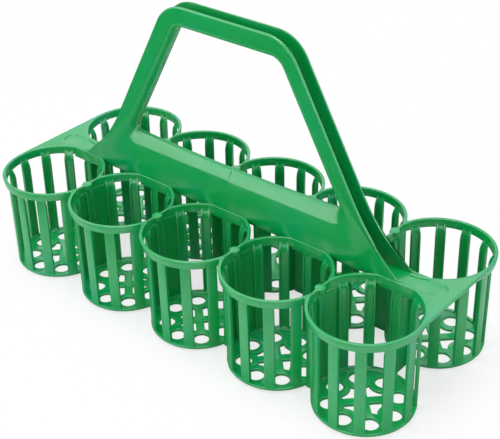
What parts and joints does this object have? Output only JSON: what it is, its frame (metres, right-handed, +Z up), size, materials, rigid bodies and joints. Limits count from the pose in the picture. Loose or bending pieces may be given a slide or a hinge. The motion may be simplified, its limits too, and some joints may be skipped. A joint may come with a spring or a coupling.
{
  "type": "glass carrier",
  "caption": "Moulded plastic carrier: two rows of slatted round cups with pierced floors, joined side by side under a tall central arched handle with a large hand hole.",
  "frame": {"origin": "middle of the overall bounding box, on the ground under the cup floors", "axes": "+X along the long side (rows of cups), +Y towards the rear row, +Z up"},
  "size_m": [0.447, 0.2, 0.2706],
  "materials": {
    "green_plastic": "semi-gloss moulded polypropylene, bright mid green"
  },
  "bodies": {
    "root": {"cup_front_1": "green_plastic", "cup_front_2": "green_plastic", "cup_front_3": "green_plastic", "cup_front_4": "green_plastic", "cup_front_5": "green_plastic", "cup_rear_1": "green_plastic", "cup_rear_2": "green_plastic", "cup_rear_3": "green_plastic", "cup_rear_4": "green_plastic", "cup_rear_5": "green_plastic", "divider_front_1": "green_plastic", "divider_front_2": "green_plastic", "divider_front_3": "green_plastic", "divider_front_4": "green_plastic", "divider_rear_1": "green_plastic", "divider_rear_2": "green_plastic", "divider_rear_3": "green_plastic", "divider_rear_4": "green_plastic", "row_web_1": "green_plastic", "row_web_2": "green_plastic", "row_web_3": "green_plastic", "row_web_4": "green_plastic", "row_web_5": "green_plastic", "deck_left": "green_plastic", "deck_right": "green_plastic", "handle_front_shell": "green_plastic", "handle_rear_shell": "green_plastic", "foot_web_left": "green_plastic", "foot_web_right": "green_plastic"}
  },
  "joints": []
}
